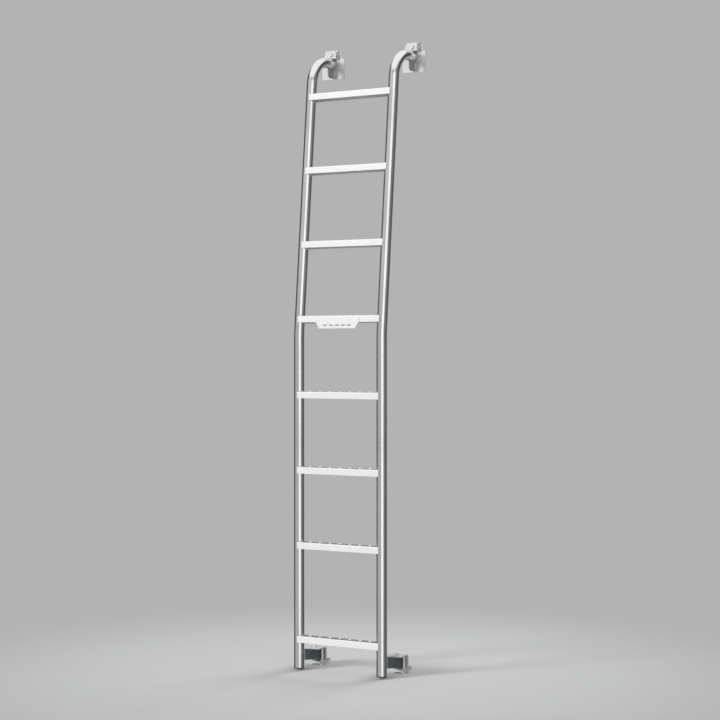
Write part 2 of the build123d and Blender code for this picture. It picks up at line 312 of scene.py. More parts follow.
def piece(name, form, material, replaces=(), edge=0.0, crease=PLAIN_CREASE):
    """Makes an object of a form.

    edge is the width to which creases over crease degrees are rounded; without it they stay sharp.
    """
    mesh = bpy.data.meshes.new(name)
    faces = [row for group in form.faces for row in group.tolist()]
    mesh.from_pydata(np.vstack(form.points), [], faces)
    for label, value in form.values.items():
        value = np.concatenate(value)
        kind, key = ("FLOAT_VECTOR", "vector") if value.ndim == 2 else ("FLOAT", "value")
        mesh.attributes.new(label, kind, "POINT").data.foreach_set(key, value.astype(np.float32).ravel())
    work = bmesh.new()
    work.from_mesh(mesh)
    bmesh.ops.remove_doubles(work, verts=work.verts, dist=SAME_POINT)
    bmesh.ops.recalc_face_normals(work, faces=work.faces)
    work.to_mesh(mesh)
    work.free()
    mesh.shade_smooth()
    mesh.materials.append(material)
    made = bpy.data.objects.new(name, mesh)
    bpy.context.scene.collection.objects.link(made)
    if edge:
        bevel = made.modifiers.new("rounded edges", "BEVEL")
        bevel.width, bevel.segments, bevel.limit_method = edge, EDGE_STEPS, "ANGLE"
        bevel.angle_limit = math.radians(crease)
        bevel.use_clamp_overlap = True
        made.modifiers.new("even shading", "WEIGHTED_NORMAL").keep_sharp = True
    else:
        mesh.set_sharp_from_angle(angle=math.radians(crease))
    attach(made, "root")
    if replaces:
        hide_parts(*replaces)
    return made


# Finishes.
STRAW = (0.74, 0.68, 0.58, 1)
# Painted shade and dark reflection for the tube's end at the door plate:
DARK_END_TONE = (0.25, 0.255, 0.27, 1)
DULL_ZINC = (0.62, 0.61, 0.58, 1)
WELD_PALE = (0.64, 0.635, 0.625, 1)
WELD_STRAW = (0.60, 0.58, 0.55, 1)
WELD_BLUE = (0.47, 0.48, 0.51, 1)
ARM_DARK = (0.085, 0.098, 0.110, 1)
ARM_DARK_DUST = (0.16, 0.17, 0.18, 1)
RUBBER = (0.016, 0.016, 0.017, 1)
RUBBER_DUST = (0.045, 0.044, 0.042, 1)
PLASTIC = (0.022, 0.022, 0.024, 1)
PLASTIC_WEAR = (0.06, 0.06, 0.062, 1)
RIB_PITCH = 4 * MM
HEAT_FULL = 10 * MM
HEAT_GONE = 22 * MM
HEAT_SIDE = (8 * MM, 16 * MM)
# How far back from the door plate the tube's painted dark end is full and gone.
DARK_END_FULL = 6 * MM
DARK_END_GONE = 34 * MM


class Signal:
    """A number that varies over a surface. It wraps a node's output, and arithmetic on it adds Math nodes."""

    def __init__(self, finish, socket):
        self.finish, self.socket = finish, socket

    def maths(self, operation, *terms):
        """A Math node on numbers or signals."""
        return self.finish.node("ShaderNodeMath", {"operation": operation}, dict(enumerate(terms)))

    def __add__(self, other):
        return self.maths("ADD", self, other)

    def __sub__(self, other):
        return self.maths("SUBTRACT", self, other)

    def __rsub__(self, other):
        return self.maths("SUBTRACT", other, self)

    def __mul__(self, other):
        return self.maths("MULTIPLY", self, other)

    def __abs__(self):
        return self.maths("ABSOLUTE", self)

    def parts(self):
        """The three numbers of a vector."""
        split = self.finish.node("ShaderNodeSeparateXYZ", {}, {0: self})
        return [Signal(self.finish, socket) for socket in split.socket.node.outputs]

    __radd__ = __add__
    __rmul__ = __mul__


class Finish:
    """Nodes of a material or of the world."""

    def __init__(self, owner):
        owner.use_nodes = True
        self.owner = owner
        self.tree = owner.node_tree
        self.tree.nodes.clear()

    def node(self, kind, settings=None, sockets=None, output=0):
        """Adds a node of a kind, with its settings first and then its sockets' values or links."""
        made = self.tree.nodes.new(kind)
        for key, value in (settings or {}).items():
            setattr(made, key, value)
        for key, value in (sockets or {}).items():
            if isinstance(value, Signal):
                self.tree.links.new(value.socket, made.inputs[key])
            else:
                made.inputs[key].default_value = value
        return Signal(self, made.outputs[output]) if len(made.outputs) else None

    def place(self, stretch=(1, 1, 1), attribute=None):
        """Object coordinates, or a vector carried by the piece, stretched along each axis."""
        if attribute:
            start = self.node("ShaderNodeAttribute", {"attribute_name": attribute}, output=1)
        else:
            start = self.node("ShaderNodeTexCoord", output=3)
        return self.node("ShaderNodeVectorMath", {"operation": "MULTIPLY"}, {0: start, 1: stretch})

    def carried_value(self, attribute):
        """A number carried by the piece's points."""
        return self.node("ShaderNodeAttribute", {"attribute_name": attribute}, output=2)

    def cloud(self, place, scale, detail=3.0, rough=0.55):
        """Soft noise about one half."""
        return self.node("ShaderNodeTexNoise", {}, {"Vector": place, "Scale": scale, "Detail": detail,
                                                    "Roughness": rough})

    def lines(self, stretch, attribute=None):
        """Fine lines: noise drawn out along the axis that is stretched least."""
        return self.cloud(self.place(stretch, attribute), scale=1.0, detail=4.0, rough=0.7)

    def patches(self, place, scale, low, high):
        """Soft patches: noise that eases from 0 to 1 between two levels."""
        return self.ease(self.cloud(place, scale, detail=4.0), low, high)

    def ease(self, value, low, high):
        """0 up to low, 1 from high, and a smooth step between."""
        return self.node("ShaderNodeMapRange", {"interpolation_type": "SMOOTHSTEP"},
                         {"Value": value, "From Min": low, "From Max": high})

    def blend(self, share, first, second):
        """Colour between two colours."""
        return self.node("ShaderNodeMix", {"data_type": "RGBA"}, {0: share, 6: first, 7: second}, output=2)

    def bump(self, height, distance):
        """Normal of a surface raised by height times distance."""
        return self.node("ShaderNodeBump", {}, {"Height": height, "Distance": distance, "Strength": 1.0})

    def surface(self, **sockets):
        """Joins a principled shader to the output. Words in the sockets' names are split by underscores."""
        named = {key.replace("_", " "): value for key, value in sockets.items()}
        shader = self.node("ShaderNodeBsdfPrincipled", {}, named)
        self.node("ShaderNodeOutputMaterial", {}, {"Surface": shader})
        return self.owner


def new_finish(name):
    """A finish for a new material."""
    return Finish(bpy.data.materials.new(name))


def grey(level, tint=0.0):
    """A grey with a little more blue than red for a positive tint."""
    return (level * (1 - tint), level, level * (1 + tint), 1.0)


def polished_tube_finish():
    """Polished steel tube: fine lines along it, hazy patches, a straw tint beside each weld and a painted
    dark reflection and shade on its end at the door plate.

    The piece carries where each point lies on the straightened tube: two numbers across and one along.
    """
    f = new_finish("polished tube")
    lines = f.lines((900, 900, 6), "straight")
    haze = f.patches(f.place((14, 14, 5), "straight"), 1.0, 0.42, 0.68)
    inward, _, along = f.place((1, 1, 1), "straight").parts()
    upper = along.maths("PINGPONG", along - (LOWEST_TREAD + LOWEST_GAP), TREAD_PITCH / 2)
    beside = upper.maths("MINIMUM", upper, abs(along - LOWEST_TREAD))
    heat = (1 - f.ease(beside, HEAT_FULL, HEAT_GONE)) * f.ease(inward, *HEAT_SIDE)
    tone = f.blend(lines, grey(0.80, 0.01), grey(0.90, 0.005))
    tone = f.blend(haze * 0.35, tone, grey(0.66, 0.01))
    tone = f.blend(heat * 0.30, tone, STRAW)
    # Painted shade and dark reflection: the tube's last few centimetres before the door plate are darkened
    # and duller.
    painted_dark_end = f.ease(along, stile_run[-1] - DARK_END_GONE, stile_run[-1] - DARK_END_FULL)
    tone = f.blend(painted_dark_end * 0.75, tone, DARK_END_TONE)
    rough = 0.10 + lines * 0.10 + haze * 0.10 + (heat + painted_dark_end) * 0.08
    return f.surface(Base_Color=tone, Metallic=1.0, Roughness=rough, Normal=f.bump(lines, 0.02 * MM))


def tread_finish():
    """Bright satin sheet: rolling lines along the tread, and a painted dark reflection on its top between the
    nubs, whose crowns stay bright.

    The piece carries how far each point belongs to the tread's top.
    """
    f = new_finish("satin tread")
    lines = f.lines((9, 700, 700))
    patches = f.patches(f.place(), 26.0, 0.4, 0.7)
    # Painted dark reflection: the tread's top is made dark in colour, metal share and shine, in soft patches.
    painted_dark_top = f.carried_value("top") * (0.70 + 0.30 * f.patches(f.place((60, 160, 60)), 1.0, 0.3, 0.6))
    tone = f.blend(lines, grey(0.84, 0.005), grey(0.93, 0.003))
    tone = f.blend(patches * 0.25, tone, grey(0.78, 0.01))
    tone = f.blend(painted_dark_top, tone, grey(0.15, 0.01))
    return f.surface(Base_Color=tone, Metallic=0.45 - 0.30 * painted_dark_top, Specular_IOR_Level=0.3,
                     Roughness=0.28 + lines * 0.14 + painted_dark_top * 0.30,
                     Normal=f.bump(lines + 0.6 * painted_dark_top, 0.03 * MM))


def sheet_finish(name, level, metal, rough):
    """Steel sheet of a tone: short upright brush marks and faint patches."""
    f = new_finish(name)
    lines = f.lines((800, 800, 14))
    patches = f.patches(f.place(), 40.0, 0.4, 0.7)
    tone = f.blend(lines, grey(0.90 * level, 0.006), grey(level, 0.003))
    tone = f.blend(patches * 0.25, tone, grey(0.80 * level, 0.01))
    return f.surface(Base_Color=tone, Metallic=metal, Roughness=rough + lines * 0.10 + patches * 0.06,
                     Normal=f.bump(lines, 0.012 * MM))


def bolt_finish():
    """Bright zinc on bolts: fine crystals, and duller spots."""
    f = new_finish("zinc bolt")
    crystals = f.node("ShaderNodeTexVoronoi", {"feature": "F1"}, {"Vector": f.place(), "Scale": 900.0})
    spots = f.patches(f.place(), 300.0, 0.45, 0.65)
    tone = f.blend(crystals, grey(0.76, 0.015), grey(0.92, 0.01))
    tone = f.blend(spots * 0.3, tone, DULL_ZINC)
    return f.surface(Base_Color=tone, Metallic=0.55, Roughness=0.22 + spots * 0.18,
                     Normal=f.bump(crystals, 0.02 * MM))


def weld_finish():
    """Weld metal: dull ripples with straw and blue tints."""
    f = new_finish("weld metal")
    tints = f.cloud(f.place(), 160.0, detail=4.0)
    tone = f.blend(f.ease(tints, 0.35, 0.6), WELD_PALE, WELD_STRAW)
    tone = f.blend(f.ease(tints, 0.55, 0.75), tone, WELD_BLUE)
    return f.surface(Base_Color=tone, Metallic=1.0, Roughness=0.30 + tints * 0.2,
                     Normal=f.bump(f.cloud(f.place(), 1500.0), 0.05 * MM))


def dark_arm_finish():
    """Dark grey satin finish of the arms: a fine orange-peel bump and faint dust."""
    f = new_finish("dark arm")
    peel = f.cloud(f.place(), 420.0)
    dust = f.ease(f.cloud(f.place(), 60.0, detail=5.0, rough=0.65), 0.45, 0.75)
    tone = f.blend(dust * 0.5, ARM_DARK, ARM_DARK_DUST)
    return f.surface(Base_Color=tone, Roughness=0.34 + dust * 0.25, Coat_Weight=0.15,
                     Normal=f.bump(peel, 0.05 * MM))


def rubber_finish():
    """Black rubber with moulded ribs across, fine grain and dust."""
    f = new_finish("pad rubber")
    upright = f.place().parts()[2]
    ribs = upright.maths("SINE", upright * (2 * math.pi / RIB_PITCH))
    grain = f.cloud(f.place(), 1400.0)
    dust = f.ease(f.cloud(f.place(), 90.0, detail=5.0), 0.4, 0.75)
    tone = f.blend(dust, RUBBER, RUBBER_DUST)
    return f.surface(Base_Color=tone, Roughness=0.62 + dust * 0.25,
                     Normal=f.bump(ribs + 0.4 * grain, 0.12 * MM))


def plastic_finish():
    """Black moulded plastic with a fine leather-like grain."""
    f = new_finish("cap plastic")
    cells = f.node("ShaderNodeTexVoronoi", {"feature": "SMOOTH_F1"}, {"Vector": f.place(), "Scale": 1100.0})
    wear = f.patches(f.place(), 130.0, 0.45, 0.7)
    tone = f.blend(wear * 0.6, PLASTIC, PLASTIC_WEAR)
    return f.surface(Base_Color=tone, Roughness=0.38 + wear * 0.25, Normal=f.bump(cells, 0.06 * MM))


tube_metal = polished_tube_finish()
tread_metal = tread_finish()
sheet_metal = sheet_finish("satin sheet", level=0.78, metal=0.50, rough=0.24)
badge_metal = sheet_finish("bright sheet", level=0.93, metal=0.45, rough=0.26)
# Painted shade: the gussets' sheet is made dark grey, standing for the shade and dark reflection on them.
shaded_web_metal = sheet_finish("web sheet painted dark", level=0.34, metal=0.80, rough=0.34)
bolt_metal = bolt_finish()
weld_metal = weld_finish()
dark_arm_surface = dark_arm_finish()
pad_rubber = rubber_finish()
cap_plastic = plastic_finish()


# Stiles.
def stile_tube(side):
    """Bent tube: a circle carried along the stile's route for the outside, and back along it for the bore."""
    outward = 1 if side == "left" else -1
    outer, inner = ring(STILE_RADIUS, TUBE_SIDES), ring(STILE_RADIUS - STILE_WALL, TUBE_SIDES)
    back = tuple(part[::-1] for part in stile_route)
    grid = np.vstack([carried(outer, stile_route, stile_x[side]),
                      carried(inner, back, stile_x[side])])
    rows, columns = grid.shape[:2]
    run = np.concatenate([stile_run, stile_run[::-1]])
    straight = np.concatenate([
        np.broadcast_to(np.vstack([outer, inner]).reshape(2, 1, columns, 2) * (outward, 1),
                        (2, rows // 2, columns, 2)).reshape(rows, columns, 2),
        np.broadcast_to(run[:, None, None], (rows, columns, 1))], 2)
    form = Form().add(grid, grid_faces(rows, columns, close_rows=True, close_columns=True),
                      straight=straight.reshape(-1, 3))
    return piece(f"{side}_tube", form, tube_metal, [f"{side}_stile"])


def end_plug(side):
    """Cap in a stile's lower end: a profile turned about the stile's axis, with a rounded rim."""
    low = box(f"{side}_end_cap")[0][2]
    turn = np.linspace(0, math.pi / 2, 7)
    radii = np.concatenate([[0.35 * STILE_RADIUS], STILE_RADIUS - PLUG_RIM + PLUG_RIM * np.sin(turn),
                            [STILE_RADIUS, 0.8 * STILE_RADIUS]])
    heights = np.concatenate([[low + PLUG_DISH], low + PLUG_RIM - PLUG_RIM * np.cos(turn),
                              [floor_z - PLUG_SEAM, floor_z]])
    grid = turned(radii, heights, PLUG_SIDES) + (stile_x[side], lower_y, 0)
    return piece(f"{side}_end_plug", Form().capped(grid), cap_plastic, [f"{side}_end_cap"])


# Treads.
def tread_run(number):
    """Distance of a tread along the stile; tread 1 is the lowest."""
    return LOWEST_TREAD if number == 1 else LOWEST_TREAD + LOWEST_GAP + (number - 2) * TREAD_PITCH


def tread_place(number):
    """A function that takes points (across, towards the door, up the stile) from a tread to the frame."""
    run = tread_run(number)
    y, z = (np.interp(run, stile_run, stile_route[0][:, axis]) for axis in (0, 1))
    lean = 0.0 if run < LEAN_START else LEAN_ANGLE
    towards = np.array([0, math.cos(lean), -math.sin(lean)])
    up = np.array([0, math.sin(lean), math.cos(lean)])
    base = np.stack([np.array([1.0, 0, 0]), towards, up])
    return lambda points: points @ base + (ladder_x, y, z)


def channel(form, place):
    """Folded channel: its outer and inner outline, stretched across between ends cut round the stiles.

    The cut leaves half the span less the larger of the inset and the root of (cope radius squared - y
    squared).
    """
    side = tread_half_depth - TREAD_SHEET / 2
    top, low = (TREAD_HEIGHT - TREAD_SHEET) / 2, -TREAD_HEIGHT / 2
    web = [(y, top) for y in np.linspace(-side, side, WEB_POINTS)[WEB_MARGIN:-WEB_MARGIN]]
    corners = [(-side, low), (-side, top), *web, (side, top), (side, low)]
    fold = [TREAD_FOLD, *[0.0] * len(web), TREAD_FOLD]
    points, directions = rounded_route(corners, fold, SHEET_ARC_STEP)
    outward = np.stack([-directions[:, 1], directions[:, 0]], 1) * TREAD_SHEET / 2
    loop = np.vstack([points + outward, (points - outward)[::-1]])
    count = len(points)
    end = half_span - np.maximum(TREAD_INSET, np.sqrt(np.maximum(cope_radius ** 2 - loop[:, 0] ** 2, 0)))
    stations = np.array([-1, -0.5, 0, 0.5, 1])
    rows = len(stations)
    across = stations[:, None] * end
    grid = np.concatenate([across[..., None], np.broadcast_to(loop, (rows, 2 * count, 2))], 2)
    near = np.arange(count - 1)
    ribbon = np.stack([near, near + 1, 2 * count - 2 - near, 2 * count - 1 - near], 1)
    rise = loop[:, 1] / (TREAD_HEIGHT / 2) * TOP_SHARPNESS - (TOP_SHARPNESS - 1)
    # top_share marks the tread's top, where the finish paints a dark reflection.
    top_share = np.where(np.arange(2 * count) < count, np.clip(rise, 0, 1), 0)
    form.add(place(grid.reshape(-1, 3)), grid_faces(rows, 2 * count, close_columns=True), ribbon,
             ribbon + (rows - 1) * 2 * count, top=np.tile(top_share, rows))


def nubs(form, place):
    """Row of pressed nubs: height falls from a slightly crowned middle by a smooth step to the foot."""
    radii = np.concatenate([np.linspace(0.15, 0.9, 5) * NUB_CROWN, np.linspace(NUB_CROWN, NUB_FOOT, 9),
                            [NUB_FOOT * 0.96]])
    share = np.clip((radii - NUB_CROWN) / (NUB_FOOT - NUB_CROWN), 0, 1)
    fall = 1 - share ** 2 * (3 - 2 * share)
    crown = NUB_RISE * np.clip(1 - (radii / NUB_CROWN) ** 2, 0, 1)
    heights = (NUB_HEIGHT - NUB_RISE) * fall + crown - NUB_SINK
    heights[-1] = -NUB_ROOT
    dome = turned(radii, heights + TREAD_HEIGHT / 2, NUB_SIDES)
    # The nubs' feet take a little of the painted dark reflection on the tread's top; their crowns stay
    # bright.
    top_share = np.append(np.repeat(0.6 * share ** 3, NUB_SIDES), [0, 0])
    middles = (np.arange(NUB_COUNT) - (NUB_COUNT - 1) / 2) * NUB_PITCH
    for x in middles:
        form.capped(place((dome + (x, 0, 0)).reshape(-1, 3)).reshape(dome.shape))
        form.values.setdefault("top", []).append(top_share)


def tread(number):
    """One tread with its nubs."""
    form = Form()
    place = tread_place(number)
    channel(form, place)
    nubs(form, place)
    return piece(f"step_{number}", form, tread_metal, [f"tread_{number}"])


def badge():
    """Bare trapezium plate with plain slots, as one cell round each slot.

    A cell's ring runs from its outline to the slot. A ray at an angle meets the slot's straight side at
    radius / sine, or its round end at half length x cosine + root of (radius squared - (half length x
    sine) squared).
    """
    low = -TREAD_HEIGHT / 2 - BADGE_DROP
    edge, slot_z = -TREAD_HEIGHT / 2, -TREAD_HEIGHT / 2 - BADGE_DROP / 2
    middles = (np.arange(BADGE_SLOTS) - (BADGE_SLOTS - 1) / 2) * SLOT_PITCH
    walls = np.concatenate([[-BADGE_HALF], (middles[1:] + middles[:-1]) / 2, [BADGE_HALF]])
    form = Form()
    place = tread_place(BADGE_TREAD)
    front, back = -tread_half_depth - BADGE_SHEET, -tread_half_depth
    for index, x in enumerate(middles):
        left, right = walls[index], walls[index + 1]
        first, last = index == 0, index == BADGE_SLOTS - 1
        corners = [(left, BADGE_TOP)]
        corners += [(-BADGE_HALF, edge), (-BADGE_FOOT, low)] if first else [(left, low)]
        corners += [(BADGE_FOOT, low), (BADGE_HALF, edge)] if last else [(right, low)]
        corners = np.array([*corners, (right, BADGE_TOP)])
        share = np.linspace(0, 1, CELL_STEPS + 1)[:-1, None]
        outline = np.vstack([a + share * (b - a) for a, b in zip(corners, np.roll(corners, -1, axis=0))])
        ray = unit(outline - (x, slot_z))
        cosine, sine = abs(ray).T
        flat = SLOT_RADIUS / np.maximum(sine, 1e-9)
        rounded = SLOT_HALF * cosine + np.sqrt(np.maximum(SLOT_RADIUS ** 2 - (SLOT_HALF * sine) ** 2, 0))
        reach = np.where(flat * cosine <= SLOT_HALF, flat, rounded)
        slot = (x, slot_z) + ray * reach[:, None]
        rings = [(outline, front), (slot, front), (slot, back), (outline, back)]
        grid = np.stack([np.stack([r[:, 0], np.full(len(r), y), r[:, 1]], 1) for r, y in rings])
        count = len(outline)
        open_side = np.repeat(np.arange(len(corners)), CELL_STEPS)
        shared = [] if first else [0]
        shared += [] if last else [len(corners) - 2]
        skirt = np.arange(count)[~np.isin(open_side, shared)]
        after = (skirt + 1) % count
        skirt_faces = np.stack([skirt, after, after + 3 * count, skirt + 3 * count], 1)
        form.add(place(grid.reshape(-1, 3)), grid_faces(4, count, close_columns=True), skirt_faces)
    return piece("badge", form, badge_metal, ["badge_plate"], edge=BADGE_EDGE)


# Brackets.
def upright_place(x):
    """A function that takes (towards the door, up, across) to the frame at x."""
    return lambda points: np.stack([x + points[:, 2], points[:, 0], points[:, 1]], 1)


def level_place(points):
    """(across, towards the door, up) is the frame's own order."""
    return points


def facing_place(points):
    """Takes (across, up, towards the door) to the frame."""
    return points[:, [0, 2, 1]]


def folded_strip(node, corners, fold, sheet, x):
    """Strip of sheet as wide as its solid: a rectangle carried along the folded middle of its thickness."""
    low, high = box(node)
    half = np.array([(-1, -1), (1, -1), (1, 1), (-1, 1)]) * ((high[0] - low[0]) / 2, sheet / 2)
    route = rounded_route(corners, [fold] * (len(corners) - 2), FOLD_ARC_STEP)
    return Form().tube(carried(half, route, x))


def rounded_outline(corners, radii):
    """Closed outline whose corners are arcs: a rounded route from the middle of its first side."""
    corners = np.asarray(corners, float)
    start = (corners[0] + corners[-1]) / 2
    points = rounded_route([start, *corners, start], radii, SHEET_ARC_STEP)[0][:-1]
    keep = np.linalg.norm(points - np.roll(points, 1, axis=0), axis=1) > SAME_POINT
    return points[keep]


def axis_basis(axis):
    """Three directions square to each other, the last along an axis."""
    axis = unit(np.asarray(axis, float))
    side = unit(np.cross(axis, (0, 0, 1) if abs(axis[2]) < 0.9 else (1, 0, 0)))
    return np.stack([side, np.cross(axis, side), axis])


def hexagon_form(form, centre, axis, flats, height, bore=0.0):
    """Hexagon head or nut: at the angle a, its ring lies at flats / 2 / cos(a within a sixth).

    A chamfer cone takes (ring radius - cone radius) x slope off the height. A nut has a rim and its stud's
    end in it, and a head is dished.
    """
    angles = np.arange(HEXAGON_SIDES) * 2 * math.pi / HEXAGON_SIDES
    corner = flats / 2 / np.cos((angles + math.pi / 6) % (math.pi / 3) - math.pi / 6)
    flat = np.full(HEXAGON_SIDES, flats / 2 * HEXAGON_CONE)
    level = np.full(HEXAGON_SIDES, height)
    cut = np.maximum(corner - flat, 0) * HEXAGON_SLOPE
    rings = [(flat, 0 * level), (corner, 0.15 * cut), (corner, level - cut), (flat, level)]
    if bore:
        rings += [(np.full(HEXAGON_SIDES, share * bore), level - depth) for share, depth in NUT_RIM]
    else:
        rings += [(share * flat, level - depth) for share, depth in HEAD_DISH]
    radii, heights = np.stack(rings, 1)
    form.capped(turned(radii, heights, HEXAGON_SIDES) @ axis_basis(axis) + np.asarray(centre))


def round_bar(form, start, end, radius):
    """Round bar or spacer between two points: a circle carried straight, with chamfered ends."""
    start, end = np.asarray(start, float), np.asarray(end, float)
    length, cut = np.linalg.norm(end - start), BAR_CHAMFER
    radii = [radius - 2 * cut, radius - cut, radius, radius, radius - cut, radius - 2 * cut]
    heights = [0, 0, cut, length - cut, length, length]
    form.capped(turned(radii, heights, BAR_SIDES) @ axis_basis(end - start) + start)


def rubber_pad(name, node, corner):
    """Pad: a rectangle with rounded corners, as large and as thick as its solid."""
    low, high = box(node)
    corners = [(high[0], low[2]), (high[0], high[2]), (low[0], high[2]), (low[0], low[2])]
    form = Form().prism(rounded_outline(corners, [corner] * 4), facing_place, low[1], high[1])
    return piece(name, form, pad_rubber, [node], edge=PAD_EDGE)


def top_bracket(side):
    """Door plate with its tongue, pad, gusset, cradle, hook and bolt."""
    x = stile_x[side]
    half = (plate_high[0] - plate_low[0]) / 2
    low, high = plate_low[2], plate_high[2]
    corners = [(half, low), (half, SHOULDER_HEIGHT), (TONGUE_HALF, SHOULDER_HEIGHT), (TONGUE_HALF, high),
               (-TONGUE_HALF, high), (-TONGUE_HALF, SHOULDER_HEIGHT), (-half, SHOULDER_HEIGHT), (-half, low)]
    outline = rounded_outline(corners, [PLATE_CORNER] * 2 + [TONGUE_CORNER] * 4 + [PLATE_CORNER] * 2)
    plate = Form().prism(outline + (x, 0), facing_place, plate_front_y, plate_back_y)
    piece(f"{side}_door_plate", plate, sheet_metal, [f"{side}_top_plate"], edge=SHEET_EDGE)

    rubber_pad(f"{side}_door_pad", f"{side}_top_pad", TOP_PAD_CORNER)

    web_low, web_high = box(f"{side}_gusset")
    near, far, foot = web_high[1], web_low[1], web_low[2]
    under = -STILE_RADIUS - GUSSET_GAP
    outline = np.array([(near, under), (far, under), (far, foot + GUSSET_CHAMFER),
                        (far + GUSSET_CHAMFER, foot), (near, foot)])
    thick = (web_high[0] - web_low[0]) / 2
    web = Form().prism(outline, upright_place(x), -thick, thick)
    # The web gets the sheet painted dark for shade.
    piece(f"{side}_web", web, shaded_web_metal, [f"{side}_gusset"], edge=SHEET_EDGE)

    cradle_low, cradle_high = box(f"{side}_hook_cradle")
    front, floor = cradle_low[1] + CRADLE_SHEET / 2, cradle_low[2] + CRADLE_SHEET / 2
    corners = [(front, cradle_high[2]), (front, floor), (cradle_high[1], floor)]
    cradle = folded_strip(f"{side}_hook_cradle", corners, CRADLE_FOLD, CRADLE_SHEET, x)
    piece(f"{side}_cradle", cradle, sheet_metal, [f"{side}_hook_cradle"], edge=THIN_EDGE)

    hook_low, hook_high = box(f"{side}_door_hook")
    leg, lip = hook_low[1] + HOOK_SHEET / 2, hook_high[1] - HOOK_SHEET / 2
    bridge = hook_high[2] - HOOK_SHEET / 2
    corners = [(leg, hook_low[2]), (leg, bridge), (lip, bridge), (lip, bridge - HOOK_LIP)]
    hook = folded_strip(f"{side}_door_hook", corners, HOOK_FOLD, HOOK_SHEET, x)
    piece(f"{side}_hook", hook, sheet_metal, [f"{side}_door_hook"], edge=SHEET_EDGE)

    bolt_low, bolt_high = box(f"{side}_hook_bolt")
    bolt_z = (bolt_low[2] + bolt_high[2]) / 2
    head = bolt_low[1] + BOLT_HEAD
    bolt = Form()
    hexagon_form(bolt, (x, head, bolt_z), (0, -1, 0), BOLT_FLATS, BOLT_HEAD)
    hexagon_form(bolt, (x, plate_back_y, bolt_z), (0, 1, 0), BOLT_FLATS, BOLT_NUT, BOLT_RADIUS)
    round_bar(bolt, (x, cradle_low[1] + CRADLE_SHEET, bolt_z), (x, hook_low[1], bolt_z), SLEEVE_RADIUS)
    piece(f"{side}_clamp_bolt", bolt, bolt_metal, [f"{side}_hook_bolt"], crease=BOLT_CREASE)


def arm_line(y, start, end):
    """Height at y on the straight line between two (y, z) points."""
    return start[1] + (end[1] - start[1]) * (y - start[0]) / (end[0] - start[0])


def arm_channel(x, ear_y, face_y):
    """Arm as a deck between two cheeks, all cut to the stile.

    The cut lies at lower_y + root of (cope radius squared - x squared). A cheek's upper edge falls straight
    from its ear to the deck, and its lower edge falls straight towards the door.
    """
    top, inside = floor_z + ARM_TOP, ARM_HALF - ARM_SHEET
    deck_end = face_y - FOOT_FOLD
    form = Form()
    for sign in (-1, 1):
        rings = []
        for across in (inside, ARM_HALF):
            root = lower_y + math.sqrt(cope_radius ** 2 - across ** 2)
            ear = arm_line(root, (lower_y, top + ARM_EAR), (ear_y, top))
            heel = arm_line(root, (lower_y, floor_z + ARM_ROOT), (face_y, floor_z + ARM_TIP))
            outline = np.array([(root, ear), (ear_y, top), (deck_end, top), (face_y, top - FOOT_FOLD),
                                (face_y, floor_z + ARM_TIP), (root, heel)])
            rings.append(np.column_stack([np.full(len(outline), x + sign * across), outline]))
        form.tube(np.stack(rings))
    reach = math.asin(inside / cope_radius)
    bend = np.linspace(-reach, reach, DECK_STEPS)
    arc = np.stack([np.sin(bend), np.cos(bend)], 1) * cope_radius + (0, lower_y)
    deck = np.vstack([arc, [(inside, deck_end), (-inside, deck_end)]]) + (x, 0)
    return form.prism(deck, level_place, top - ARM_SHEET, top)


def foot_bracket(side):
    """Arm from the stile, folded bracket on the door, jaw under the door's edge, pad and bolts."""
    x = stile_x[side]
    strip_low, strip_high = box(f"{side}_foot_bracket")
    face_front = strip_high[1] - FOOT_SHEET
    arm = arm_channel(x, strip_low[1], face_front)
    piece(f"{side}_arm", arm, dark_arm_surface, [f"{side}_foot_arm"], edge=THIN_EDGE)

    face = strip_high[1] - FOOT_SHEET / 2
    tongue, toe = strip_high[2] - FOOT_SHEET / 2, strip_low[2] + FOOT_SHEET / 2
    jaw_low, jaw_high = box(f"{side}_foot_jaw")
    toe_y = jaw_low[1]
    corners = [(strip_low[1], tongue), (face, tongue), (face, toe), (toe_y, toe)]
    strip = folded_strip(f"{side}_foot_bracket", corners, FOOT_FOLD, FOOT_SHEET, x)
    piece(f"{side}_foot_strip", strip, sheet_metal, [f"{side}_foot_bracket"],
          edge=SHEET_EDGE)

    lip, level = jaw_high[1] - FOOT_SHEET / 2, jaw_low[2] + FOOT_SHEET / 2
    corners = [(toe_y, level), (lip, level), (lip, jaw_high[2])]
    jaw = folded_strip(f"{side}_foot_jaw", corners, FOOT_FOLD, FOOT_SHEET, x)
    piece(f"{side}_jaw", jaw, sheet_metal, [f"{side}_foot_jaw"], edge=SHEET_EDGE)

    rubber_pad(f"{side}_low_pad", f"{side}_foot_pad", FOOT_PAD_CORNER)

    bolts = Form()
    stud = (x, face_front - STUD_SETBACK, strip_high[2])
    hexagon_form(bolts, stud, (0, 0, 1), BOLT_FLATS, BOLT_HEAD, BOLT_RADIUS)
    bolt_y = (toe_y + face_front) / 2
    head_z, stud_top = strip_low[2] + FOOT_SHEET, strip_high[2] - FOOT_SHEET - WELD_GAP
    for bolt_x in (x - CLAMP_OFFSET, x + CLAMP_OFFSET):
        hexagon_form(bolts, (bolt_x, bolt_y, head_z), (0, 0, 1), CLAMP_FLATS, CLAMP_HEAD)
        hexagon_form(bolts, (bolt_x, bolt_y, jaw_low[2]), (0, 0, -1), CLAMP_FLATS, CLAMP_NUT, CLAMP_RADIUS)
        round_bar(bolts, (bolt_x, bolt_y, head_z + CLAMP_HEAD), (bolt_x, bolt_y, stud_top), CLAMP_RADIUS)
    piece(f"{side}_jaw_bolts", bolts, bolt_metal, [f"{side}_foot_bolts"], crease=BOLT_CREASE)


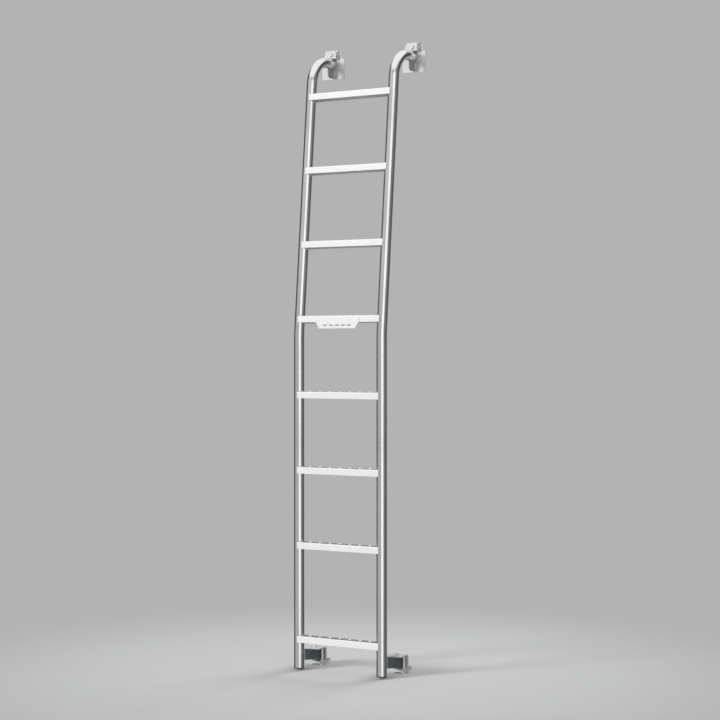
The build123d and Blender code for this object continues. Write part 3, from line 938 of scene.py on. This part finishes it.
# Welds. A bead's place is measured from its seam, and a trim is how far it stops short of the seam's end.
BEAD_SIDES = 12
BEAD_STEP = 0.45 * MM
FEWEST_STEPS = 12
RIPPLE_PITCH = 1.9 * MM
RIPPLE_SHARE = 0.14
UNEVEN_SHARE = 0.12
UNEVEN_BLUR = 9
ROUNDEST_END = 0.98
SEAT_BEAD = 1.3 * MM
CUT_BEAD = 1.4 * MM
FLANK_BEAD = 1.5 * MM
END_BEAD = 1.8 * MM
FLANGE_OUT = 0.2 * MM
FLANGE_CLEAR = 0.35 * MM
FLANGE_LOW = 1.2 * MM
SHORT_TRIM = 1 * MM
TRIM = 2 * MM
LONG_TRIM = 4 * MM
CUT_CLEAR = 0.3 * MM
CUT_SINK = 0.2 * MM
CUT_REACH = 1.25
CUT_STEPS = 60
END_CLEAR = 0.3 * MM
END_SINK = 0.4 * MM
END_STEPS = 120
SEAT_HALF = 5 * MM
SEAT_SINK = 0.9 * MM
ARM_CLEAR = 0.2 * MM


def bead(form, path, radius, around, seed):
    """Weld bead: a circle carried along a path, which swells with each ripple and has rounded ends.

    The radius is r x (1 + ripple share x cos(2 pi s / pitch) + a little seeded unevenness) x root of
    (1 - e squared), where e grows from 0 to nearly 1 over the last two radii at each end.
    """
    run = run_length(path)
    stations = np.linspace(0, run[-1], max(int(run[-1] / BEAD_STEP), FEWEST_STEPS))
    line = np.stack([np.interp(stations, run, path[:, axis]) for axis in range(3)], 1)
    along = unit(np.gradient(line, axis=0))
    side = unit(np.cross(np.asarray(around, float), along))
    up = np.cross(along, side)
    rng = np.random.default_rng(seed)
    draws = rng.normal(0, 1, len(stations) + UNEVEN_BLUR - 1)
    uneven = np.convolve(draws, np.ones(UNEVEN_BLUR) / UNEVEN_BLUR, "valid") * UNEVEN_SHARE
    ends = np.clip(1 - np.minimum(stations, run[-1] - stations) / (2 * radius), 0, ROUNDEST_END)
    swell = 1 + RIPPLE_SHARE * np.cos(2 * math.pi * stations / RIPPLE_PITCH) + uneven
    size = radius * swell * np.sqrt(1 - ends ** 2)
    over, rise = np.split(ring(1.0, BEAD_SIDES), 2, axis=1)
    rim = over * side[:, None, :] + rise * up[:, None, :]
    form.capped(line[:, None, :] + size[:, None, None] * rim)


def tread_welds(side):
    """Beads where each tread meets a stile: up both flange ends, and round the cut in the top."""
    sign = -1 if side == "left" else 1
    end, half = sign * (half_span - TREAD_INSET) + sign * FLANGE_OUT, TREAD_HEIGHT / 2
    bend, radius = np.linspace(-CUT_REACH, CUT_REACH, CUT_STEPS), cope_radius + CUT_CLEAR
    arc = np.stack([sign * (half_span - radius * np.cos(bend)), radius * np.sin(bend),
                    np.full(CUT_STEPS, half - CUT_SINK)], 1)
    form = Form()
    for number in range(1, TREAD_COUNT + 1):
        place = tread_place(number)
        for flank in (-1, 1):
            y = flank * (cope_radius + FLANGE_CLEAR)
            line = np.array([(end, y, -half + FLANGE_LOW), (end, y, half - LONG_TRIM)])
            bead(form, place(line), FLANK_BEAD, (1, 0, 0), 10 * number + flank)
        bead(form, place(arc), CUT_BEAD, (0, 0, 1), 10 * number + 5)
    return piece(f"{side}_tread_welds", form, weld_metal, crease=WELD_CREASE)


def bracket_welds(side):
    """Beads at a stile's brackets: round its end, along the gusset and the cradle, and at the arm."""
    x = stile_x[side]
    form = Form()
    turn, radius = np.linspace(0, 2 * math.pi, END_STEPS), STILE_RADIUS + END_CLEAR
    rim = np.stack([x + radius * np.cos(turn), np.full(END_STEPS, plate_front_y - END_SINK),
                    radius * np.sin(turn)], 1)
    bead(form, rim, END_BEAD, (0, 1, 0), 101)
    web_low, web_high = box(f"{side}_gusset")
    cradle_low, cradle_high = box(f"{side}_hook_cradle")
    under, front = -STILE_RADIUS + GUSSET_GAP, plate_front_y - END_CLEAR
    seat_z = STILE_RADIUS - SEAT_SINK
    root = lower_y + math.sqrt(cope_radius ** 2 - ARM_HALF ** 2)
    arm_low, arm_high = floor_z + ARM_ROOT, floor_z + ARM_TOP + ARM_EAR - LONG_TRIM
    for flank, edge in ((-1, web_low[0]), (1, web_high[0])):
        seat, seam = x + flank * SEAT_HALF, x + flank * (ARM_HALF + ARM_CLEAR)
        gusset_top = [(edge, web_low[1] + SHORT_TRIM, under), (edge, web_high[1] - TRIM, under)]
        gusset_back = [(edge, front, web_low[2] + SHORT_TRIM), (edge, front, -STILE_RADIUS - TRIM)]
        cradle_seat = [(seat, cradle_low[1] + LONG_TRIM, seat_z), (seat, cradle_high[1] - SHORT_TRIM, seat_z)]
        cheek = [(seam, root, arm_low), (seam, root, arm_high)]
        bead(form, np.array(gusset_top), FLANK_BEAD, (0, 0, 1), 103 + flank)
        bead(form, np.array(gusset_back), FLANK_BEAD, (0, 1, 0), 107 + flank)
        bead(form, np.array(cradle_seat), SEAT_BEAD, (0, 0, 1), 111 + flank)
        bead(form, np.array(cheek), FLANK_BEAD, (0, 1, 0), 115 + flank)
    reach, radius = math.asin((ARM_HALF - ARM_SHEET) / cope_radius), cope_radius + ARM_CLEAR
    bend = np.linspace(-reach, reach, CUT_STEPS)
    arc = np.stack([x + radius * np.sin(bend), lower_y + radius * np.cos(bend),
                    np.full(CUT_STEPS, floor_z + ARM_TOP)], 1)
    bead(form, arc, CUT_BEAD, (0, 0, 1), 119)
    return piece(f"{side}_bracket_welds", form, weld_metal, crease=WELD_CREASE)


for side in SIDES:
    stile_tube(side)
    end_plug(side)
    top_bracket(side)
    foot_bracket(side)
    tread_welds(side)
    bracket_welds(side)
for number in range(1, TREAD_COUNT + 1):
    tread(number)
badge()


# Studio. Angles of cards and lamps are degrees.
FLOOR_CLEAR = 0.5 * MM
FLOOR_RADIUS = 1.6
FLOOR_FADE = 0.35
FLOOR_RINGS = 9
FLOOR_SIDES = 96
FLOOR_DARK = 0.47
FLOOR_PALE = 0.50
BACKGROUND = 0.45
SOFT_LIGHT = 0.27
CARD_DISTANCE = 6.0
CARD_HIGH = 4.5
CARD_STEPS = 33
CAMERA_PLACE = (2.83011, -4.72933, -0.90360)
CAMERA_YAW = math.radians(30.06)
CAMERA_TILT = math.radians(0.30)
FOCUS_PIXELS = 905.45
SHOWN_LARGER = 1.92
FRAME_PIXELS = 720.0
SENSOR = 36.0
studio_middle = np.array([ladder_x, lower_y, floor_z / 2])


def bearing(azimuth, elevation):
    """Unit vector at an azimuth from -Y towards +X, and an elevation, in degrees."""
    a, e = np.radians(azimuth), np.radians(elevation)
    return np.stack([np.sin(a) * np.cos(e), -np.cos(a) * np.cos(e), np.sin(e)], -1)


def stage_piece(name, grid, finish, close_columns=False):
    """A surface of the studio, made from a grid of points."""
    rows, columns = grid.shape[:2]
    mesh = bpy.data.meshes.new(name)
    faces = grid_faces(rows, columns, close_columns=close_columns)
    mesh.from_pydata(grid.reshape(-1, 3), [], faces.tolist())
    mesh.materials.append(finish)
    made = bpy.data.objects.new(name, mesh)
    bpy.context.scene.collection.objects.link(made)
    return made


def studio_floor():
    """Level disc under the ladder, as rings about its middle; its edge fades out."""
    radii = np.linspace(0, FLOOR_RADIUS, FLOOR_RINGS)
    level = np.full(FLOOR_RINGS, lowest_z - FLOOR_CLEAR)
    grid = turned(radii, level, FLOOR_SIDES) + (ladder_x, lower_y, 0)
    f = new_finish("studio floor")
    place = f.place()
    middle_place = (ladder_x, lower_y, lowest_z)
    centred = f.node("ShaderNodeVectorMath", {"operation": "SUBTRACT"}, {0: place, 1: middle_place})
    away = f.node("ShaderNodeVectorMath", {"operation": "LENGTH"}, {0: centred}, output=1)
    tone = f.blend(f.cloud(place, 2.0, detail=4.0), grey(FLOOR_DARK, 0.006), grey(FLOOR_PALE, 0.006))
    shader = f.node("ShaderNodeBsdfPrincipled", {}, {"Base Color": tone, "Roughness": 0.8,
                                                     "Specular IOR Level": 0.1})
    clear = f.node("ShaderNodeBsdfTransparent")
    fade = f.ease(away, FLOOR_FADE, FLOOR_RADIUS * 0.97)
    mixed = f.node("ShaderNodeMixShader", {}, {0: fade, 1: shader, 2: clear})
    f.node("ShaderNodeOutputMaterial", {}, {"Surface": mixed})
    stage_piece("studio_floor", grid, f.owner, close_columns=True).visible_glossy = False


def studio_world():
    """Even pale surroundings, as the camera, gloss and glass see them; matt surfaces get less light."""
    f = Finish(bpy.data.worlds.new("studio"))
    bpy.context.scene.world = f.owner
    camera, gloss, glass = (f.node("ShaderNodeLightPath", output=f"Is {kind} Ray")
                            for kind in ("Camera", "Glossy", "Transmission"))
    seen = camera.maths("MAXIMUM", camera.maths("MAXIMUM", camera, gloss), glass)
    tone = f.blend(seen, grey(SOFT_LIGHT, 0.008), grey(BACKGROUND, 0.008))
    sky = f.node("ShaderNodeBackground", {}, {"Color": tone, "Strength": 1.0})
    f.node("ShaderNodeOutputWorld", {}, {"Surface": sky})


def card(name, start, end, low, tone):
    """Dark card for the metal to mirror: an upright arc about the ladder, from low up."""
    turn = np.linspace(start, end, CARD_STEPS)
    foot = bearing(turn, np.zeros(CARD_STEPS)) * CARD_DISTANCE + studio_middle
    grid = np.stack([foot + (0, 0, low), foot + (0, 0, CARD_HIGH)])
    f = new_finish(name)
    made = stage_piece(name, grid, f.surface(Base_Color=grey(tone), Roughness=0.9))
    made.visible_camera = made.visible_diffuse = made.visible_shadow = False


def lamp(name, azimuth, elevation, distance, width, height, level, mirrored=True):
    """Soft lamp that faces the ladder's middle. level is how bright its face is, beside a white of 1."""
    data = bpy.data.lights.new(name, "AREA")
    data.shape, data.size, data.size_y = "RECTANGLE", width, height
    data.energy = level * math.pi * width * height
    made = bpy.data.objects.new(name, data)
    away = bearing(azimuth, elevation)
    made.location = studio_middle + away * distance
    made.rotation_euler = Vector(away).to_track_quat("Z", "Y").to_euler()
    made.visible_camera, made.visible_glossy = False, mirrored
    bpy.context.scene.collection.objects.link(made)


def studio_camera():
    """Camera at the photograph's place and angle."""
    data = bpy.data.cameras.new("camera")
    data.sensor_width = SENSOR
    data.lens = FOCUS_PIXELS * SHOWN_LARGER / FRAME_PIXELS * SENSOR
    data.clip_start, data.clip_end = 0.05, 100.0
    made = bpy.data.objects.new("camera", data)
    made.location = CAMERA_PLACE
    made.rotation_euler = (math.pi / 2 - CAMERA_TILT, 0.0, CAMERA_YAW)
    bpy.context.scene.collection.objects.link(made)
    bpy.context.scene.camera = made


studio_floor()
studio_world()
card("left card", start=-126, end=-68, low=-2.8, tone=0.05)
card("right card", start=66, end=112, low=-2.8, tone=0.20)
card("far right card", start=112, end=166, low=-6.0, tone=0.08)
lamp("key", azimuth=-31, elevation=17, distance=12.0, width=2.6, height=2.6, level=73.0, mirrored=False)
lamp("back fill", azimuth=165, elevation=15, distance=6.0, width=3.2, height=3.2, level=11.0, mirrored=False)
lamp("front box", azimuth=43, elevation=8, distance=4.2, width=3.5, height=5.0, level=0.68)
lamp("high box", azimuth=-22, elevation=30, distance=4.5, width=5.0, height=2.4, level=0.16)
lamp("top box", azimuth=0, elevation=90, distance=3.6, width=6.0, height=6.0, level=0.54)
lamp("back box", azimuth=190, elevation=35, distance=4.5, width=3.0, height=1.8, level=0.42)
studio_camera()
bpy.context.scene.view_settings.view_transform = "Standard"
